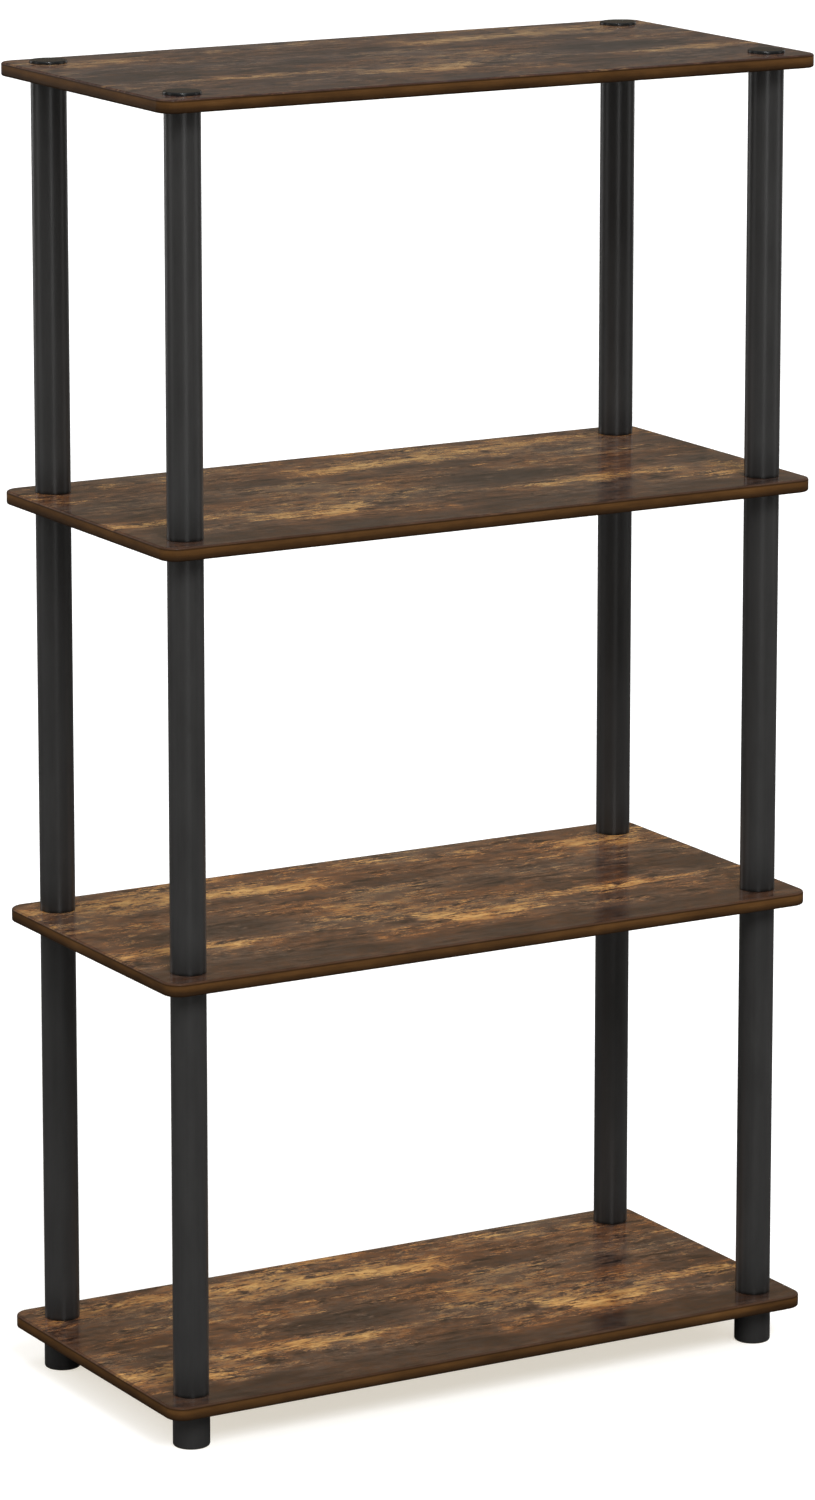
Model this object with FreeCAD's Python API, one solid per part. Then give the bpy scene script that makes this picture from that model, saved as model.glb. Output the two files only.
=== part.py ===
import FreeCAD, Part
import math
import os

from FreeCAD import Vector

# Free-standing display rack with four boards on screwed tube posts.
# Millimetres.  Origin: on the floor, under the middle of the boards.
# +X along the long side, +Y towards the back, +Z up.  The long front side
# faces -Y.

# ---------------------------------------------------------------- dimensions
shelf_length = 600.0          # along X, outside the edge band
shelf_depth = 292.0           # along Y, outside the edge band
board_thickness = 11.0
edge_band_thickness = 2.0
corner_radius = 15.0          # plan radius of a shelf corner
edge_easing = 1.8             # rounding of the band's upper and lower arris

post_inset_x = 32.0           # post axis to the end of the shelf
post_inset_y = 32.0           # post axis to the front or back of the shelf

tube_diameter = 29.0
tube_wall = 1.3
tube_end_rounding = 0.5
shelf_pitch = 349.25          # shelf top to shelf top
tube_length = shelf_pitch - board_thickness

foot_height = 32.0
foot_diameter = 30.2
foot_wall = 2.2
foot_floor = 3.0
foot_rounding = 1.8

cap_diameter = 30.4
cap_height = 2.9
cap_rim_radius = 1.2
cap_crown = 0.35

stud_hole_diameter = 16.0     # four in each board
stud_shank_radius = 7.5       # plain part, inside the board
thread_major_radius = 7.4
thread_minor_radius = 6.3
thread_pitch = 3.0
thread_first = 3.0            # first ridge below the board
thread_turns = 4
stud_engagement = 16.0        # length below the board
stud_core_radius = 4.2        # moulded hollow of a stud
stud_length = board_thickness + stud_engagement

thread_clearance = 0.25       # socket to stud, radial
socket_depth = 19.0
socket_floor = 3.0
socket_boss_radius = 10.3
socket_mouth_radius = 7.9

plug_clearance = 0.05         # plug skirt to tube bore, radial
plug_skirt = 22.0
plug_skirt_wall = 1.6
plug_plate = 2.8

# ------------------------------------------------------------- derived values
half_x = shelf_length / 2.0 - post_inset_x
half_y = shelf_depth / 2.0 - post_inset_y
tube_radius = tube_diameter / 2.0
bore_radius = tube_radius - tube_wall
plug_radius = bore_radius - plug_clearance
shelf_under = [foot_height + i * shelf_pitch for i in range(4)]
shelf_top = [z + board_thickness for z in shelf_under]

corners = [("front_left", -half_x, -half_y), ("front_right", half_x, -half_y),
           ("rear_left", -half_x, half_y), ("rear_right", half_x, half_y)]
shelf_names = ["bottom", "lower_middle", "upper_middle", "top"]
tier_names = ["lower", "middle", "upper"]


# -------------------------------------------------------------------- helpers
def v(r, z):
    return Vector(r, 0.0, z)


def line(a, b):
    return Part.LineSegment(v(*a), v(*b)).toShape()


def arc(a, centre, radius, t0, t1):
    """Arc about centre in the r-z plane, angles in degrees."""
    pts = []
    for t in (t0, (t0 + t1) / 2.0, t1):
        q = math.radians(t)
        pts.append(v(centre[0] + radius * math.cos(q),
                     centre[1] + radius * math.sin(q)))
    return Part.Arc(pts[0], pts[1], pts[2]).toShape()


def chain(points):
    return [line(a, b) for a, b in zip(points[:-1], points[1:])]


def turn(edges):
    """Solid of revolution about Z of a closed r-z outline."""
    wire = Part.Wire(Part.__sortEdges__(edges))
    solid = Part.Face(wire).revolve(Vector(0, 0, 0), Vector(0, 0, 1), 360)
    if solid.ShapeType != "Solid":
        solid = Part.Solid(solid.Shells[0])
    if solid.Volume < 0:
        solid.reverse()
    return solid


def rounded_plan(length, depth, radius, height):
    """Prism with rounded vertical corners, standing on z = 0."""
    box = Part.makeBox(length, depth, height,
                       Vector(-length / 2.0, -depth / 2.0, 0))
    upright = [e for e in box.Edges
               if abs(e.Vertexes[0].Z - e.Vertexes[1].Z) > height / 2.0]
    return box.makeFillet(radius, upright)


def at(shape, x, y, z):
    s = shape.copy()
    s.translate(Vector(x, y, z))
    return s


def save(name, shape):
    if len(shape.Solids) == 1:
        shape = shape.Solids[0]
    ok = shape.isValid() and all(s.isClosed() for s in shape.Solids)
    b = shape.BoundBox
    print("%-34s ok=%s solids=%d vol=%.1f mm3  z %.2f..%.2f"
          % (name, ok, len(shape.Solids), shape.Volume, b.ZMin, b.ZMax))
    if not ok:
        raise SystemExit("bad solid: " + name)
    shape.exportStep(os.path.join("parts", name + ".step"))


# ------------------------------------------------- threaded stud and its socket
def stud_outline():
    """Outer points of a stud from the board's upper face down to its tip."""
    p = [(stud_shank_radius, 0.0),
         (stud_shank_radius, -(board_thickness - 1.5)),
         (thread_minor_radius, -(board_thickness - 0.3))]
    for k in range(thread_turns):
        zc = -(board_thickness + thread_first + thread_pitch * k)
        p += [(thread_minor_radius, zc + 1.1), (thread_major_radius, zc + 0.4),
              (thread_major_radius, zc - 0.4), (thread_minor_radius, zc - 1.1)]
    p += [(thread_minor_radius, -stud_length + 1.2),
          (thread_minor_radius - 0.9, -stud_length)]
    return p


def socket_outline():
    """Inner points of a socket from its mouth, z = 0, down to its floor."""
    c = thread_clearance
    r0 = thread_minor_radius + c
    r1 = thread_major_radius + c
    p = [(socket_mouth_radius, 0.0), (r0, -1.2)]
    for k in range(thread_turns):
        zc = -(thread_first + thread_pitch * k)
        p += [(r0, zc + 1.35), (r1, zc + 0.6), (r1, zc - 0.6), (r0, zc - 1.35)]
    p += [(r0, -socket_depth), (0.0, -socket_depth)]
    return p


# --------------------------------------------------------------------- shelves
core_plan = rounded_plan(shelf_length - 2 * edge_band_thickness,
                         shelf_depth - 2 * edge_band_thickness,
                         corner_radius - edge_band_thickness, board_thickness)
board = core_plan
for _, px, py in corners:
    hole = Part.makeCylinder(stud_hole_diameter / 2.0, board_thickness + 2.0,
                             Vector(px, py, -1.0))
    board = board.cut(hole)

outer = rounded_plan(shelf_length, shelf_depth, corner_radius, board_thickness)
arrises = [e for e in outer.Edges
           if abs(e.BoundBox.ZMax - e.BoundBox.ZMin) < 1e-6]
band = outer.makeFillet(edge_easing, arrises).cut(core_plan)

# ----------------------------------------------------------------------- tubes
e = tube_end_rounding
r = tube_radius
L = tube_length
tube = turn(
    chain([(bore_radius, L), (bore_radius, 0.0), (r - e, 0.0)])
    + [arc(None, (r - e, e), e, -90, 0), line((r, e), (r, L - e)),
       arc(None, (r - e, L - e), e, 0, 90), line((r - e, L), (bore_radius, L))])

# Plug in a tube's lower end: a cup glued in the bore, with a hollow threaded
# stud that goes down through the board.  z = 0 at the tube's lower end.
s = stud_outline()
stud_plug = turn(chain(
    [(plug_radius - 0.4, 0.0), (plug_radius, 0.4), (plug_radius, plug_skirt),
     (plug_radius - plug_skirt_wall, plug_skirt),
     (plug_radius - plug_skirt_wall, plug_plate),
     (stud_core_radius, plug_plate), (stud_core_radius, -stud_length + 2.4),
     (0.0, -stud_length + 2.4), (0.0, -stud_length)]
    + s[::-1] + [(plug_radius - 0.4, 0.0)]))

# Plug in a tube's upper end, with the threaded socket that takes the stud
# from above.  z = 0 at the tube's upper end.
q = socket_outline()
socket_plug = turn(chain(
    q + [(0.0, -socket_depth - socket_floor),
         (socket_boss_radius, -socket_depth - socket_floor),
         (socket_boss_radius, -plug_plate),
         (plug_radius - plug_skirt_wall, -plug_plate),
         (plug_radius - plug_skirt_wall, -plug_skirt),
         (plug_radius, -plug_skirt), (plug_radius, -0.4),
         (plug_radius - 0.4, 0.0), q[0]]))

# ------------------------------------------------------------------------ feet
# Moulded cup with a threaded boss in the middle, closed below, rim up
# against the bottom board.  z = 0 on the floor.
R = foot_diameter / 2.0
f = foot_rounding
wall_in = R - foot_wall
qf = [(a, b + foot_height) for a, b in q]
foot = turn(
    chain([(0.0, 0.0), (R - f, 0.0)])
    + [arc(None, (R - f, f), f, -90, 0)]
    + chain([(R, f), (R, foot_height - 0.4), (R - 0.4, foot_height),
             (wall_in, foot_height), (wall_in, foot_floor),
             (socket_boss_radius, foot_floor),
             (socket_boss_radius, foot_height)] + qf + [(0.0, 0.0)]))
rib_inner = socket_boss_radius - 0.6
rib_outer = wall_in + 0.6
for k in range(4):
    rib = Part.makeBox(rib_outer - rib_inner, 1.6, foot_height - foot_floor - 1.5,
                       Vector(rib_inner, -0.8, foot_floor - 0.5))
    rib.rotate(Vector(0, 0, 0), Vector(0, 0, 1), 45 + 90 * k)
    foot = foot.fuse(rib)
foot = foot.removeSplitter()

# ------------------------------------------------------------------------ caps
# Low button with a rounded rim and a slightly crowned top, on a hollow stud
# that goes down through the top board.  z = 0 on the board's upper face.
Rc = cap_diameter / 2.0
rim = cap_rim_radius
zr = cap_height - cap_crown                 # height where the crown starts
xr = Rc - rim
crown_radius = (xr * xr + cap_crown * cap_crown) / (2.0 * cap_crown)
mid = xr / 2.0
zmid = cap_height - crown_radius + math.sqrt(crown_radius ** 2 - mid ** 2)
crown = Part.Arc(v(0.0, cap_height), v(mid, zmid), v(xr, zr)).toShape()
cap = turn(
    [crown, arc(None, (xr, zr - rim), rim, 90, 0)]
    + chain([(Rc, zr - rim), (Rc, 0.25), (Rc - 0.25, 0.0)] + s
            + [(3.6, -stud_length), (3.6, -1.0), (0.0, -1.0),
               (0.0, cap_height)]))

# ---------------------------------------------------------------------- output
os.makedirs("parts", exist_ok=True)

for name, zu in zip(shelf_names, shelf_under):
    save("shelf_board_" + name, at(board, 0, 0, zu))
    save("edge_band_" + name, at(band, 0, 0, zu))

for tier, name in enumerate(tier_names):
    z0 = shelf_top[tier]
    for corner, px, py in corners:
        save("tube_%s_%s" % (name, corner), at(tube, px, py, z0))
        save("stud_plug_%s_%s" % (name, corner), at(stud_plug, px, py, z0))
        save("socket_plug_%s_%s" % (name, corner),
             at(socket_plug, px, py, z0 + tube_length))

for corner, px, py in corners:
    save("foot_" + corner, at(foot, px, py, 0.0))
    save("cap_" + corner, at(cap, px, py, shelf_top[3]))

print("shelf tops", shelf_top, "overall height", shelf_top[3] + cap_height)
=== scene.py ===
import bpy
import math
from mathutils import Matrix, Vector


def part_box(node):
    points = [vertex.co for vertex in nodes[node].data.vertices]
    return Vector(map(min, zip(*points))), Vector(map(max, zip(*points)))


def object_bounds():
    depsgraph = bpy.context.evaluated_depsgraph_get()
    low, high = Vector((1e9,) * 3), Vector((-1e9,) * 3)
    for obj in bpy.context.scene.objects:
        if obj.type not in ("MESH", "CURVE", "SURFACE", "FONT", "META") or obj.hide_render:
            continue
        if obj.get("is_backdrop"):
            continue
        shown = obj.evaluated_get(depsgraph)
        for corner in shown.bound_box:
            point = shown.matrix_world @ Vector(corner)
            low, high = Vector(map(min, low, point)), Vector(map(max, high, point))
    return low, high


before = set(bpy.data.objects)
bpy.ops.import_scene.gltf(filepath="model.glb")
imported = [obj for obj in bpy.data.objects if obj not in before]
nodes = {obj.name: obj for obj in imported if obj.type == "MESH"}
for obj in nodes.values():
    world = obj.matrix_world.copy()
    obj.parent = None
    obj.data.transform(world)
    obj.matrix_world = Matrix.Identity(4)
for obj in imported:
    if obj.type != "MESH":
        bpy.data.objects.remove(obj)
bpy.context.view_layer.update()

scene = bpy.context.scene

SHELVES = ["bottom", "lower_middle", "upper_middle", "top"]
TIERS = ["lower", "middle", "upper"]
CORNERS = ["front_left", "front_right", "rear_left", "rear_right"]


# ---------------------------------------------------------------- node writing
class Graph:
    """Writes shader nodes as expressions. Lengths inside it are millimetres."""

    def __init__(self, tree):
        self.tree = tree
        self.count = 0

    def node(self, kind, **props):
        n = self.tree.nodes.new(kind)
        for key, value in props.items():
            setattr(n, key, value)
        n.location = (200 * (self.count % 14), -180 * (self.count // 14))
        self.count += 1
        return n

    def put(self, socket, value):
        if isinstance(value, bpy.types.NodeSocket):
            self.tree.links.new(value, socket)
        elif value is not None:
            socket.default_value = value

    def math(self, op, a, b=None, c=None, clamp=False):
        n = self.node("ShaderNodeMath", operation=op, use_clamp=clamp)
        for i, value in enumerate((a, b, c)):
            self.put(n.inputs[i], value)
        return n.outputs[0]

    def add(self, a, b):
        return self.math("ADD", a, b)

    def sub(self, a, b):
        return self.math("SUBTRACT", a, b)

    def mul(self, a, b):
        return self.math("MULTIPLY", a, b)

    def mad(self, a, b, c):
        return self.math("MULTIPLY_ADD", a, b, c)

    def step(self, a, lo, hi, to_lo=0.0, to_hi=1.0):
        n = self.node("ShaderNodeMapRange", interpolation_type="SMOOTHSTEP")
        for i, value in enumerate((a, lo, hi, to_lo, to_hi)):
            self.put(n.inputs[i], value)
        return n.outputs[0]

    def xyz(self, x, y, z=0.0):
        n = self.node("ShaderNodeCombineXYZ")
        for i, value in enumerate((x, y, z)):
            self.put(n.inputs[i], value)
        return n.outputs[0]

    def split(self, vector):
        n = self.node("ShaderNodeSeparateXYZ")
        self.put(n.inputs[0], vector)
        return n.outputs[0], n.outputs[1], n.outputs[2]

    def vec(self, op, a, b=None, c=None):
        n = self.node("ShaderNodeVectorMath", operation=op)
        for i, value in enumerate((a, b, c)):
            if value is not None:
                self.put(n.inputs[i], value)
        return n

    def noise(self, vector, detail=2.0, rough=0.5, scale=1.0, twist=0.0):
        n = self.node("ShaderNodeTexNoise", noise_dimensions="3D")
        self.put(n.inputs["Vector"], vector)
        n.inputs["Scale"].default_value = scale
        n.inputs["Detail"].default_value = detail
        n.inputs["Roughness"].default_value = rough
        n.inputs["Distortion"].default_value = twist
        return n.outputs["Fac"]

    def cells(self, vector, feature="DISTANCE_TO_EDGE"):
        n = self.node("ShaderNodeTexVoronoi", feature=feature)
        self.put(n.inputs["Vector"], vector)
        n.inputs["Scale"].default_value = 1.0
        return n.outputs["Distance"]

    def ramp(self, value, stops):
        n = self.node("ShaderNodeValToRGB")
        self.put(n.inputs[0], value)
        e = n.color_ramp.elements
        while len(e) < len(stops):
            e.new(0.5)
        for item, (pos, colour) in zip(e, stops):
            item.position = pos
            item.color = (*colour, 1.0)
        return n.outputs[0]

    def mix(self, fac, a, b, blend="MIX"):
        n = self.node("ShaderNodeMix", data_type="RGBA", blend_type=blend)
        self.put(n.inputs[0], fac)
        for socket, value in ((n.inputs[6], a), (n.inputs[7], b)):
            if isinstance(value, tuple) and len(value) == 3:
                value = (*value, 1.0)
            self.put(socket, value)
        return n.outputs[2]

    def bump(self, height, strength, distance, normal=None):
        n = self.node("ShaderNodeBump")
        n.inputs["Strength"].default_value = strength
        n.inputs["Distance"].default_value = distance
        self.put(n.inputs["Height"], height)
        self.put(n.inputs["Normal"], normal)
        return n.outputs[0]


def new_material(name):
    m = bpy.data.materials.new(name)
    m.use_nodes = True
    m.node_tree.nodes.clear()
    g = Graph(m.node_tree)
    out = g.node("ShaderNodeOutputMaterial")
    p = g.node("ShaderNodeBsdfPrincipled")
    g.tree.links.new(p.outputs[0], out.inputs[0])
    return m, g, p


# ------------------------------------------------------------- rustic wood print
# One printed film, used on every shelf with its own offset.  u runs along the
# grain, v across it towards the back, both in mm from the middle of the
# bottom shelf.  Light and dark areas are listed here: (u, v, reach along,
# reach across, strength).
LIGHT_AREAS = [
    (-118, 114, 44, 12, 0.22), (-100, 92, 38, 14, 0.27), (-35, 92, 46, 15, 0.32),
    (28, 86, 44, 14, 0.40), (62, 74, 24, 9, 0.26), (-62, 129, 28, 11, 0.20),
    (-5, 136, 30, 8, 0.20), (-203, 116, 50, 10, 0.22), (-268, 112, 40, 20, 0.16),
    (160, 128, 42, 10, 0.17), (222, 110, 56, 10, 0.10), (110, 117, 30, 10, 0.10),
    (-132, -53, 62, 9, 0.32), (-78, -58, 34, 9, 0.18), (-178, -44, 30, 8, 0.16),
    (-272, -56, 34, 12, 0.20), (-235, -72, 60, 8, 0.14), (-212, -87, 62, 5, 0.26),
    (112, -64, 30, 18, 0.34), (148, -80, 36, 15, 0.24), (186, -62, 24, 20, 0.18),
    (234, -44, 28, 6, 0.22), (290, -46, 52, 8, 0.30), (318, -56, 38, 11, 0.16),
    (80, -6, 46, 20, 0.10), (44, -20, 60, 15, 0.07), (-90, 34, 70, 12, 0.08),
    (88, 31, 56, 13, 0.10), (50, -95, 26, 18, 0.15), (40, -30, 30, 12, 0.06),
    (365, 91, 46, 17, 0.26), (398, 112, 30, 15, 0.14), (-160, -98, 60, 6, 0.10),
    (-30, 40, 120, 14, 0.05), (-210, 40, 60, 14, 0.07), (160, -20, 40, 14, 0.05),
]
DARK_AREAS = [
    (-24, 58, 60, 14, 0.20), (-92, 62, 26, 10, 0.10), (142, 70, 70, 13, 0.15),
    (-52, -6, 58, 19, 0.24), (-112, -20, 30, 12, 0.12), (0, -18, 30, 9, 0.10),
    (200, 14, 30, 12, 0.17), (-215, 16, 46, 13, 0.13), (-200, -16, 34, 14, 0.13),
    (262, -16, 36, 17, 0.18), (0, -84, 34, 19, 0.15), (-120, -97, 66, 8, 0.14),
    (50, 46, 30, 10, 0.07), (220, -62, 22, 10, 0.20), (293, -72, 32, 11, 0.18),
    (365, 2, 50, 24, 0.22), (-268, 60, 40, 15, 0.13), (-270, 13, 24, 14, 0.12),
    (-148, -70, 30, 9, 0.14), (75, -66, 10, 9, 0.26), (120, 12, 34, 10, 0.06),
    (-10, 128, 16, 6, 0.10), (190, 132, 26, 6, 0.08),
]
SPECKS = [  # u, v, size: small old nail marks and pin knots
    (-92, 54, 2.6), (14, 23, 2.4), (116, 118, 2.2), (50, -99, 5.0),
    (77, -64, 4.2), (-142, -70, 3.4), (252, 48, 3.2), (252, 7, 2.6),
    (375, 40, 3.4), (-160, 4, 3.0), (88, -80, 2.6), (28, -103, 2.8),
    (-330, 30, 3.0), (330, -20, 2.8), (-68, 108, 3.0),
]


def rustic_print():
    """Node group: u, v in mm -> colour, relief height and tone."""
    t = bpy.data.node_groups.new("rustic_print", "ShaderNodeTree")
    t.interface.new_socket("u", in_out="INPUT", socket_type="NodeSocketFloat")
    t.interface.new_socket("v", in_out="INPUT", socket_type="NodeSocketFloat")
    t.interface.new_socket("Front", in_out="INPUT", socket_type="NodeSocketFloat")
    t.interface.new_socket("Color", in_out="OUTPUT", socket_type="NodeSocketColor")
    t.interface.new_socket("Height", in_out="OUTPUT", socket_type="NodeSocketFloat")
    t.interface.new_socket("Tone", in_out="OUTPUT", socket_type="NodeSocketFloat")
    g = Graph(t)
    gi = g.node("NodeGroupInput")
    go = g.node("NodeGroupOutput")
    u, v = gi.outputs[0], gi.outputs[1]

    def field(su, sv, z, detail=2.0, rough=0.5, at_v=None):
        """Noise with features about su by sv mm, centred on 0."""
        at = g.xyz(g.mul(u, 1.0 / su), g.mul(v if at_v is None else at_v, 1.0 / sv), z)
        return g.sub(g.noise(at, detail, rough), 0.5)

    # warps that make every outline ragged
    wa = field(46.0, 24.0, 1.7, 5.0, 0.61)
    wb = field(30.0, 16.0, 9.3, 5.0, 0.61)
    at = g.xyz(g.mad(wa, 105.0, u), g.mad(wb, 44.0, v), 0.0)

    wc = field(60.0, 22.0, 3.9, 4.0, 0.60)
    wd = field(40.0, 15.0, 11.1, 4.0, 0.60)
    at_soft = g.xyz(g.mad(wc, 100.0, u), g.mad(wd, 38.0, v), 0.0)

    def area(acc, at, cu, cv, au, av, w):
        av = av * 1.14
        n = g.vec("MULTIPLY_ADD", at, (1.0 / au, 1.0 / av, 0.0),
                  (-cu / au, -cv / av, 0.0))
        d2 = g.vec("DOT_PRODUCT", n.outputs[0], n.outputs[0]).outputs[1]
        fall = g.math("POWER", 0.3679, d2)
        return g.mad(fall, w, acc)

    light = 0.0
    for row in LIGHT_AREAS:
        light = area(light, at, *row)
    dark = 0.0
    for row in DARK_AREAS:
        dark = area(dark, at_soft, *row)
    _, vw, _ = g.split(at_soft)
    # painted shade: a darker strip along the front of the board, as strong as the board's
    # Front input
    front = g.mul(gi.outputs[2], 0.20)
    dark = g.mad(g.step(vw, -96.0, -114.0), front, dark)

    # grain direction: v bent by waves, stronger where the figure is curly
    curl = g.step(light, 0.04, 0.30)
    slow = field(120.0, 40.0, 4.1, 2.0)
    mid = field(38.0, 13.0, 6.6, 3.0, 0.50)
    quick = field(16.0, 8.0, 2.2, 2.0)
    vs = g.mad(slow, 26.0, v)
    vs = g.mad(mid, g.mad(curl, 9.0, 10.0), vs)
    vs = g.mad(quick, g.mad(curl, 2.0, 3.0), vs)

    blot = field(52.0, 22.0, 12.5, 3.0, 0.55)
    mott = field(20.0, 9.0, 15.5, 3.0, 0.55, vs)
    s1 = field(90.0, 5.0, 0.3, 3.0, 0.55, vs)
    s2 = field(28.0, 3.8, 5.2, 2.0, 0.55, vs)
    s3 = field(6.5, 2.5, 8.8, 2.0, 0.6, vs)
    pores = field(2.8, 1.9, 52.0, 2.0, 0.6)
    # calm areas and lively ones
    worn = g.step(field(40.0, 20.0, 55.0, 3.0, 0.6), -0.12, 0.17, 0.30, 1.75)
    # where that painted shade lies along the front, the grain detail is calmed too
    calm = g.mul(g.step(vw, -94.0, -112.0), gi.outputs[2])
    worn = g.mul(worn, g.mad(calm, -0.60, 1.0))

    base = g.mad(light, 1.06, 0.414)
    base = g.mad(dark, -0.80, base)
    base = g.mad(blot, 0.36, base)
    rough_grain = g.mad(s2, 0.34, g.mad(s3, 0.46, g.mul(pores, 0.42)))
    detail = g.mad(rough_grain, worn, g.mad(mott, 0.46, g.mul(s1, 0.24)))
    tone = g.mad(detail, g.step(base, 0.24, 0.58, 0.46, 1.28), base)
    tone = g.mad(tone, 1.24, -0.075)

    # wavy dark growth lines in the curly light areas
    bend = field(70.0, 22.0, 20.5, 3.0, 0.5)
    phase = g.mad(vs, 1.00, g.mul(bend, 20.0))
    ring = g.math("POWER", g.mad(g.math("SINE", phase), 0.5, 0.5), 2.6)
    broken = g.step(field(34.0, 9.0, 24.5, 3.0, 0.6), -0.10, 0.08)
    ring = g.mul(ring, broken)
    tone = g.sub(tone, g.mul(g.mul(ring, 0.30), curl))

    # fine lines that follow the grain, dark ones and pale ones: thin ridges
    # of stretched noises, here strong and there gone
    def lines(su, sv, z, width, pz, p_lo, p_hi):
        ridge = g.math("ABSOLUTE", field(su, sv, z, 2.0, 0.5, vs))
        where = g.step(field(32.0, 12.0, pz, 3.0, 0.6), p_lo, p_hi)
        return g.mul(g.step(ridge, width, 0.0), where)

    hair = lines(64.0, 8.0, 31.0, 0.080, 33.0, -0.04, 0.10)
    hair2 = lines(30.0, 6.0, 36.0, 0.080, 38.0, -0.02, 0.11)
    pale = lines(48.0, 7.0, 61.0, 0.070, 63.0, -0.02, 0.12)
    lively = g.mul(g.step(base, 0.20, 0.60, 0.62, 1.0), worn)
    tone = g.mad(g.mul(hair, lively), -0.32, tone)
    tone = g.mad(g.mul(hair2, lively), -0.28, tone)
    tone = g.mad(g.mul(pale, lively), 0.23, tone)

    # short dark flecks
    fp = g.xyz(g.mul(u, 1.0 / 8.0), g.mul(vs, 1.0 / 1.8), 7.7)
    fleck = g.step(g.noise(fp, 2.0, 0.6), 0.64, 0.76)
    tone = g.mad(g.mul(fleck, worn), -0.18, tone)

    # pin knots and nail marks: a pale grain of dust in a dark smudge
    at_k = g.xyz(g.mad(mid, 26.0, u), g.mad(field(10.0, 7.0, 44.0, 3.0), 14.0, v), 0.0)
    near = None
    for ku, kv, size in SPECKS:
        d = g.vec("MULTIPLY_ADD", at_k, (0.6 / size, 1.0 / size, 0.0),
                  (-0.6 * ku / size, -kv / size, 0.0))
        d = g.vec("LENGTH", d.outputs[0]).outputs[1]
        near = d if near is None else g.math("MINIMUM", near, d)
    smudge = g.step(near, 1.9, 0.5)
    grain_of_dust = g.step(near, 0.42, 0.12)
    tone = g.mad(smudge, -0.17, tone)
    tone = g.mad(grain_of_dust, 0.22, tone)

    colour = g.ramp(tone, [
        (0.00, (0.0110, 0.0062, 0.0045)),
        (0.14, (0.0240, 0.0130, 0.0085)),
        (0.28, (0.0500, 0.0270, 0.0165)),
        (0.42, (0.0950, 0.0490, 0.0270)),
        (0.56, (0.1700, 0.0870, 0.0400)),
        (0.70, (0.2780, 0.1460, 0.0530)),
        (0.85, (0.4100, 0.2270, 0.0720)),
        (1.00, (0.5400, 0.3200, 0.1120)),
    ])
    # the print drifts between reddish, yellow and greyish brown
    drift = g.mul(field(130.0, 60.0, 40.0, 1.0, 0.4), 0.75)
    drift = g.mad(field(11.0, 6.0, 42.0, 2.0, 0.55), 0.98, drift)
    drift = g.sub(g.step(drift, -0.38, 0.38), 0.5)
    drift = g.mad(drift, g.step(tone, 0.90, 0.50, 0.35, 1.0), 0.5)
    tint = g.mix(drift, (1.10, 0.815, 0.550), (0.91, 1.170, 1.520))
    colour = g.mix(1.0, colour, tint, "MULTIPLY")
    grey = g.mul(g.step(field(44.0, 15.0, 47.0, 3.0), 0.0, 0.14), 0.30)
    dusty = g.mix(g.mul(grey, g.step(tone, 0.62, 0.34)), colour, (0.058, 0.041, 0.033))
    colour = dusty

    height = g.mad(s3, 1.2, g.mad(s2, 1.0, 0.5))
    height = g.mad(hair, -0.5, height)
    height = g.mad(fleck, -0.25, height)
    height = g.mad(ring, g.mul(curl, -0.2), height)
    g.put(go.inputs[0], colour)
    g.put(go.inputs[1], height)
    g.put(go.inputs[2], tone)
    return t


PRINT = rustic_print()


def shelf_material(name, way, shift, front, tint):
    """way 1 or -1: the print runs with or against +X; shift in mm; front: how
    strong the painted shade is along the front of the board; tint: a colour scale that
    paints the light and shade this board gets, darker and bluer on the top board."""
    m, g, p = new_material(name)
    tc = g.node("ShaderNodeTexCoord")
    mm = g.vec("SCALE", tc.outputs["Object"])
    mm.inputs["Scale"].default_value = 1000.0
    x, y, z = g.split(mm.outputs[0])
    geo = g.node("ShaderNodeNewGeometry")
    _, _, nz = g.split(geo.outputs["Normal"])
    under = g.math("LESS_THAN", nz, 0.0)
    u = g.mad(x, float(way), float(shift))
    u = g.mad(under, -137.0, u)
    grp = g.node("ShaderNodeGroup", node_tree=PRINT)
    g.put(grp.inputs[0], u)
    g.put(grp.inputs[1], y)
    grp.inputs[2].default_value = front
    colour, height = grp.outputs[0], grp.outputs[1]
    # painted light and shade of this board: its own colour scale
    colour = g.mix(1.0, colour, tint, "MULTIPLY")

    g.put(p.inputs["Base Color"], colour)
    # faint uneven gloss: pressing marks, wiped dust and rubbed patches
    a = g.noise(g.vec("MULTIPLY", mm.outputs[0], (0.006, 0.012, 0.01)).outputs[0],
                4.0, 0.6)
    b = g.noise(g.vec("MULTIPLY", mm.outputs[0], (0.05, 0.35, 0.1)).outputs[0],
                3.0, 0.6)
    rough = g.mad(g.sub(a, 0.5), 0.12, 0.150)
    rough = g.mad(g.sub(b, 0.5), 0.08, rough)
    rough = g.mad(g.sub(height, 0.5), 0.05, rough)
    g.put(p.inputs["Roughness"], rough)
    p.inputs["IOR"].default_value = 1.47
    p.inputs["Specular IOR Level"].default_value = 0.5
    fine = g.noise(g.vec("MULTIPLY", mm.outputs[0], (0.5, 1.1, 1.0)).outputs[0],
                   2.0, 0.5)
    hh = g.mad(fine, 0.12, height)
    g.put(p.inputs["Normal"], g.bump(hh, 0.16, 0.00012))
    return m


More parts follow.
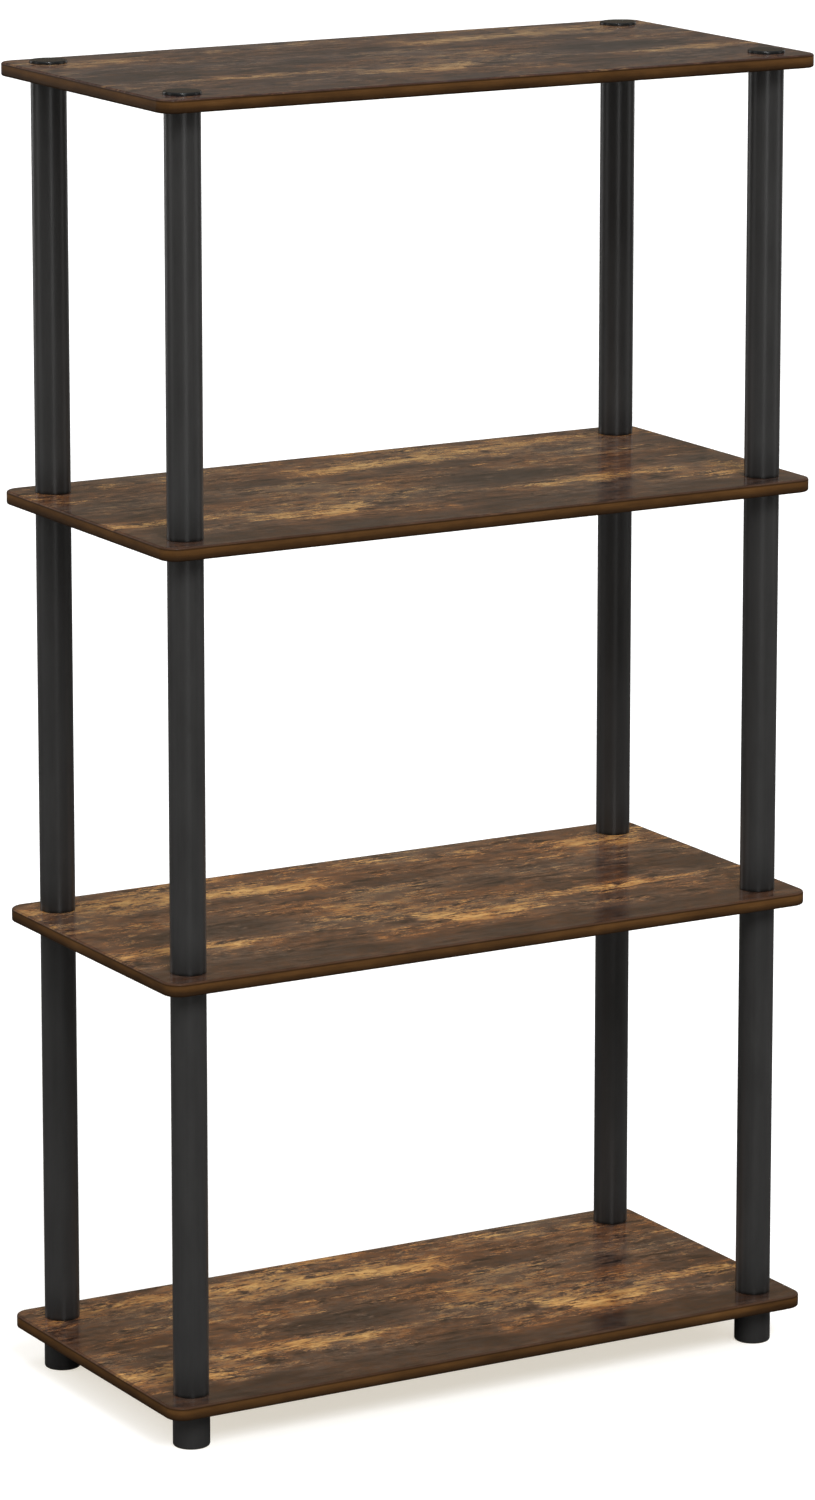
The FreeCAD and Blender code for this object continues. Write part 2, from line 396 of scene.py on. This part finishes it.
def edge_material(name, seed, low, way, shift, front, tint):
    """Satin edge band: brown with faint streaks that run round the board.  The
    printed film laps over its top as far as the trimmed arris."""
    m, g, p = new_material(name)
    tc = g.node("ShaderNodeTexCoord")
    mm = g.vec("SCALE", tc.outputs["Object"])
    mm.inputs["Scale"].default_value = 1000.0
    x, y, z = g.split(mm.outputs[0])
    # along the band, x and y both move slowly; z is across it
    slow = g.noise(g.xyz(g.mul(x, 1 / 55.0), g.mul(y, 1 / 55.0),
                         g.mad(z, 1 / 22.0, seed)), 3.0, 0.6)
    lines = g.noise(g.xyz(g.mul(x, 1 / 26.0), g.mul(y, 1 / 26.0),
                          g.mad(z, 1 / 0.9, seed * 3.0)), 3.0, 0.6)
    hair = g.noise(g.xyz(g.mul(x, 1 / 7.0), g.mul(y, 1 / 7.0),
                         g.mad(z, 1 / 0.35, seed)), 2.0, 0.6)
    t = g.mad(g.sub(slow, 0.5), 1.1, 0.5)
    t = g.mad(g.sub(lines, 0.5), 0.55, t)
    t = g.mad(g.sub(hair, 0.5), 0.30, t)
    colour = g.ramp(t, [
        (0.00, (0.026, 0.012, 0.004)),
        (0.35, (0.052, 0.025, 0.0085)),
        (0.65, (0.076, 0.036, 0.0115)),
        (1.00, (0.110, 0.056, 0.020)),
    ])
    # the trimmed arrises: a thin dark glue line above; below it, painted shade that
    # darkens the band from about 8 mm down to its lower arris
    up = g.sub(z, low)
    wob = g.mad(g.sub(slow, 0.5), 1.6, up)
    seam = g.mul(g.step(up, 8.5, 9.1), g.step(up, 10.3, 9.7))
    shade = g.step(wob, 8.2, 1.2, 0.0, 0.80)
    colour = g.mix(shade, colour, (0.009, 0.005, 0.003))
    grp = g.node("ShaderNodeGroup", node_tree=PRINT)
    g.put(grp.inputs[0], g.mad(x, float(way), float(shift)))
    g.put(grp.inputs[1], y)
    grp.inputs[2].default_value = front
    lap = g.step(up, 9.7, 10.1)
    trim = g.mix(0.55, grp.outputs[0], (0.062, 0.034, 0.021))
    # the board's painted light and shade scale lies on the lapped print too
    trim = g.mix(1.0, trim, tuple(0.84 * c for c in tint), "MULTIPLY")
    colour = g.mix(lap, colour, trim)
    colour = g.mix(g.mul(seam, 0.70), colour, (0.012, 0.006, 0.003))
    g.put(p.inputs["Base Color"], colour)
    rough = g.mad(g.sub(lines, 0.5), 0.16, 0.46)
    g.put(p.inputs["Roughness"], g.mad(lap, -0.22, rough))
    p.inputs["IOR"].default_value = 1.4
    p.inputs["Specular IOR Level"].default_value = 0.05
    g.put(p.inputs["Normal"], g.bump(g.mad(hair, 0.5, lines), 0.18, 0.00010))
    return m


def tube_material(name, base, rough0, seed, mark=0.05, painted_end_shade_at=None):
    """Satin extruded plastic: die lines along the tube, faint cloudiness and
    small rubs.  The last argument: (height of a tube's lower end, pitch) in mm,
    for the painted shade that darkens each lower end."""
    m, g, p = new_material(name)
    tc = g.node("ShaderNodeTexCoord")
    mm = g.vec("SCALE", tc.outputs["Object"])
    mm.inputs["Scale"].default_value = 1000.0
    x, y, z = g.split(mm.outputs[0])
    # die lines: quick across, very slow along the tube
    die = g.noise(g.xyz(g.mul(x, 1.1), g.mul(y, 1.1), g.mad(z, 1 / 400.0, seed)),
                  3.0, 0.6)
    cloud = g.noise(g.xyz(g.mul(x, 1 / 12.0), g.mul(y, 1 / 12.0),
                          g.mad(z, 1 / 60.0, seed)), 3.0, 0.6)
    grit = g.noise(g.xyz(g.mul(x, 2.4), g.mul(y, 2.4), g.mad(z, 1.6, seed)),
                   2.0, 0.6)
    rub = g.step(g.noise(g.xyz(g.mul(x, 0.4), g.mul(y, 0.4),
                               g.mad(z, 0.05, seed * 2.0)), 4.0, 0.7), 0.62, 0.76)
    t = g.mad(g.sub(cloud, 0.5), 0.9, 0.5)
    t = g.mad(g.sub(die, 0.5), 0.5, t)
    t = g.mad(g.sub(grit, 0.5), 0.35, t)
    t = g.mad(rub, mark * 3.0, t)
    lo = tuple(c * 0.78 for c in base)
    hi = tuple(c * 1.25 for c in base)
    colour = g.ramp(t, [(0.15, lo), (0.5, base), (0.9, hi)])
    if painted_end_shade_at is not None:
        # painted shade: the colour is darkened towards each tube's lower end, to about a
        # fifth in the last few mm, fading out over about 34 mm
        low, pitch = painted_end_shade_at
        end = g.math("MODULO", g.sub(z, low - 0.2), pitch)
        end = g.mad(g.sub(grit, 0.5), 2.0, end)
        painted_end_shade_keep = g.mul(g.step(end, 0.8, 3.6, 0.30, 1.0), g.step(end, -4.0, 34.0, 0.60, 1.0))
        colour = g.mix(painted_end_shade_keep, (0.0, 0.0, 0.0), colour)
    g.put(p.inputs["Base Color"], colour)
    r = g.mad(g.sub(cloud, 0.5), 0.12, rough0)
    r = g.mad(g.sub(grit, 0.5), 0.10, r)
    r = g.mad(rub, 0.06, r)
    g.put(p.inputs["Roughness"], r)
    p.inputs["IOR"].default_value = 1.5
    p.inputs["Specular IOR Level"].default_value = 0.34
    h = g.mad(die, 1.0, g.mul(grit, 0.35))
    g.put(p.inputs["Normal"], g.bump(h, 0.22, 0.00008))
    return m


def moulded_material(name, base, rough0, seed):
    """Injection-moulded plastic with a fine spark texture."""
    m, g, p = new_material(name)
    tc = g.node("ShaderNodeTexCoord")
    mm = g.vec("SCALE", tc.outputs["Object"])
    mm.inputs["Scale"].default_value = 1000.0
    mul = g.vec("MULTIPLY_ADD", mm.outputs[0], (2.2, 2.2, 2.2),
                (seed, seed * 2.0, seed * 3.0))
    spark = g.noise(mul.outputs[0], 3.0, 0.65)
    mul2 = g.vec("MULTIPLY_ADD", mm.outputs[0], (0.12, 0.12, 0.12),
                 (seed, seed, seed))
    cloud = g.noise(mul2.outputs[0], 3.0, 0.6)
    t = g.mad(g.sub(cloud, 0.5), 0.9, 0.5)
    t = g.mad(g.sub(spark, 0.5), 0.5, t)
    lo = tuple(c * 0.75 for c in base)
    hi = tuple(c * 1.3 for c in base)
    g.put(p.inputs["Base Color"], g.ramp(t, [(0.15, lo), (0.5, base), (0.9, hi)]))
    g.put(p.inputs["Roughness"], g.mad(g.sub(spark, 0.5), 0.14, rough0))
    p.inputs["IOR"].default_value = 1.5
    p.inputs["Specular IOR Level"].default_value = 0.28
    g.put(p.inputs["Normal"], g.bump(spark, 0.25, 0.00006))
    return m


# -------------------------------------------------------------------- dressing
# Each shelf is cut from another stretch of the same film; each also gets its own strength
# of painted shade along the front and a colour scale that paints the light and shade on
# that board.
CUTS = {"bottom": (1, 0.0, 1.10, (1.0, 1.0, 1.0)),
        "lower_middle": (1, 118.0, 0.95, (1.10, 1.09, 1.09)),
        "upper_middle": (-1, 20.0, 0.75, (0.97, 1.0, 1.08)),
        "top": (-1, 120.0, 0.15, (0.71, 0.77, 1.02))}

for i, s in enumerate(SHELVES):
    lo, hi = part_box("shelf_board_" + s)
    way, shift, front, tint = CUTS[s]
    nodes["shelf_board_" + s].material_slots[0].material = shelf_material(
        "laminate_" + s, way, shift, front, tint)
    nodes["edge_band_" + s].material_slots[0].material = edge_material(
        "edge_band_" + s, 3.7 + 5.1 * i, lo[2] * 1000.0, way, shift, front,
        tint)

tube_lo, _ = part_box("tube_lower_front_left")
next_lo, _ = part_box("tube_middle_front_left")
tube_look = tube_material("tube_charcoal", (0.0222, 0.0222, 0.0224), 0.33, 2.3,
                          painted_end_shade_at=(tube_lo[2] * 1000.0,
                                   (next_lo[2] - tube_lo[2]) * 1000.0))
foot_look = tube_material("foot_charcoal", (0.0185, 0.0185, 0.0187), 0.36, 8.1)
cap_look = moulded_material("cap_black", (0.0085, 0.0093, 0.0097), 0.26, 4.4)
plug_look = moulded_material("plug_black", (0.010, 0.010, 0.010), 0.5, 6.2)

for t in TIERS:
    for c in CORNERS:
        nodes["tube_%s_%s" % (t, c)].material_slots[0].material = tube_look
        nodes["stud_plug_%s_%s" % (t, c)].material_slots[0].material = plug_look
        nodes["socket_plug_%s_%s" % (t, c)].material_slots[0].material = plug_look
for c in CORNERS:
    nodes["foot_" + c].material_slots[0].material = foot_look
    nodes["cap_" + c].material_slots[0].material = cap_look


# ----------------------------------------------------------------- floor, light
def make_floor():
    size = 60.0
    me = bpy.data.meshes.new("studio_floor")
    me.from_pydata([(-size, -size, 0), (size, -size, 0), (size, size, 0),
                    (-size, size, 0)], [], [(0, 1, 2, 3)])
    o = bpy.data.objects.new("studio_floor", me)
    scene.collection.objects.link(o)
    o.location = (0, 0, -0.0002)
    m = bpy.data.materials.new("studio_floor")
    m.use_nodes = True
    m.node_tree.nodes.clear()
    g = Graph(m.node_tree)
    out = g.node("ShaderNodeOutputMaterial")
    tc = g.node("ShaderNodeTexCoord")
    grain = g.noise(g.vec("MULTIPLY", tc.outputs["Object"], (9.0, 9.0, 9.0)).outputs[0],
                    3.0, 0.6)
    # what the camera sees: a pale floor whose shadows stay light and warm
    glow = g.node("ShaderNodeEmission")
    glow.inputs["Color"].default_value = (0.655, 0.610, 0.530, 1.0)
    glow.inputs["Strength"].default_value = 1.0
    lit = g.node("ShaderNodeBsdfDiffuse")
    g.put(lit.inputs["Color"], g.mix(grain, (0.46, 0.50, 0.56), (0.47, 0.51, 0.57)))
    seen = g.node("ShaderNodeAddShader")
    g.tree.links.new(glow.outputs[0], seen.inputs[0])
    g.tree.links.new(lit.outputs[0], seen.inputs[1])
    path = g.node("ShaderNodeLightPath")
    dim = g.node("ShaderNodeBsdfDiffuse")
    g.put(dim.inputs["Color"], g.mix(path.outputs["Is Glossy Ray"],
                                     (0.42, 0.415, 0.405), (0.075, 0.073, 0.070)))
    both = g.node("ShaderNodeMixShader")
    g.tree.links.new(path.outputs["Is Camera Ray"], both.inputs[0])
    g.tree.links.new(dim.outputs[0], both.inputs[1])
    g.tree.links.new(seen.outputs[0], both.inputs[2])
    g.tree.links.new(both.outputs[0], out.inputs[0])
    me.materials.append(m)
    o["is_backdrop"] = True
    return o


make_floor()

world = bpy.data.worlds.new("studio")
scene.world = world
world.use_nodes = True
world.node_tree.nodes.clear()
g = Graph(world.node_tree)
out = g.node("ShaderNodeOutputWorld")
tc = g.node("ShaderNodeTexCoord")
_, _, up = g.split(tc.outputs["Generated"])
room = g.ramp(g.math("MAXIMUM", up, 0.0), [
    (0.00, (0.114, 0.111, 0.102)),
    (0.11, (0.118, 0.112, 0.096)),
    (0.19, (0.155, 0.127, 0.093)),
    (0.26, (0.195, 0.148, 0.099)),
    (0.33, (0.245, 0.173, 0.106)),
    (0.42, (0.200, 0.150, 0.110)),
    (0.55, (0.090, 0.080, 0.070)),
    (0.75, (0.30, 0.30, 0.30)),
    (1.00, (0.45, 0.45, 0.45)),
])
white = g.node("ShaderNodeBackground")
white.inputs["Color"].default_value = (1.0, 1.0, 1.0, 1.0)
white.inputs["Strength"].default_value = 1.05
dome = g.node("ShaderNodeBackground")
g.put(dome.inputs["Color"], room)
dome.inputs["Strength"].default_value = 1.0
path = g.node("ShaderNodeLightPath")
both = g.node("ShaderNodeMixShader")
world.node_tree.links.new(path.outputs["Is Camera Ray"], both.inputs[0])
world.node_tree.links.new(dome.outputs[0], both.inputs[1])
world.node_tree.links.new(white.outputs[0], both.inputs[2])
world.node_tree.links.new(both.outputs[0], out.inputs[0])


def sun(name, azimuth, elevation, strength, spread, colour=(1, 1, 1)):
    """Azimuth 0 is in front of the rack, 90 on its +X side."""
    d = bpy.data.lights.new(name, "SUN")
    d.energy = strength
    d.angle = math.radians(spread)
    d.color = colour
    o = bpy.data.objects.new(name, d)
    scene.collection.objects.link(o)
    o.rotation_euler = (math.radians(90.0 - elevation), 0.0, math.radians(azimuth))
    # it only lights: the soft panels are what the glossy faces mirror
    o.visible_glossy = False
    return o


def softbox(name, azimuth, distance, height, width, tall, power, aim=0.55):
    d = bpy.data.lights.new(name, "AREA")
    d.shape = "RECTANGLE"
    d.size = width
    d.size_y = tall
    d.energy = power
    o = bpy.data.objects.new(name, d)
    scene.collection.objects.link(o)
    a = math.radians(azimuth)
    x, y = distance * math.sin(a), -distance * math.cos(a)
    o.location = (x, y, height)
    tilt = math.atan2(height - aim, distance)
    o.rotation_euler = (math.radians(90.0) - tilt, 0.0, a)
    return o


sun("key", -8.0, 42.0, 3.02, 24.0, (1.0, 0.985, 0.965))
sun("side_left", -95.0, 38.0, 1.40, 50.0)
sun("side_right", 85.0, 52.0, 1.25, 50.0)
softbox("panel_front", -19.0, 4.6, 1.6, 0.8, 3.0, 36.0)
softbox("panel_left", -106.0, 4.2, 1.6, 1.3, 3.0, 17.0)
softbox("panel_right", 61.0, 4.2, 1.6, 1.2, 3.0, 16.0)
softbox("panel_rear", -158.0, 4.4, 1.6, 1.2, 3.0, 22.0)
softbox("panel_rear_right", 118.0, 4.4, 1.6, 1.0, 3.0, 9.0)
# a small high lamp that only glints, on the caps' rounded rims
softbox("glint", -30.0, 3.0, 4.2, 0.4, 0.4, 150.0, 1.09).visible_diffuse = False

# ---------------------------------------------------------------------- camera
cam = bpy.data.cameras.new("camera")
cam.sensor_fit = "AUTO"
cam.sensor_width = 36.0
cam.lens = 153.159
cam.shift_x = 0.0
cam.shift_y = -0.12
cam.clip_start = 0.1
cam.clip_end = 200.0
cam_obj = bpy.data.objects.new("camera", cam)
scene.collection.objects.link(cam_obj)
cam_obj.location = (-2.55757, -4.43399, 1.70856)
cam_obj.rotation_euler = (math.radians(90.0 - 11.4745), 0.0, math.radians(-29.9569))
scene.camera = cam_obj

scene.view_settings.view_transform = "Standard"
scene.view_settings.look = "None"
scene.view_settings.exposure = 0.0
scene.view_settings.gamma = 1.0

# ------------------------------------------------------------------------- end
lo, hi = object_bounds()
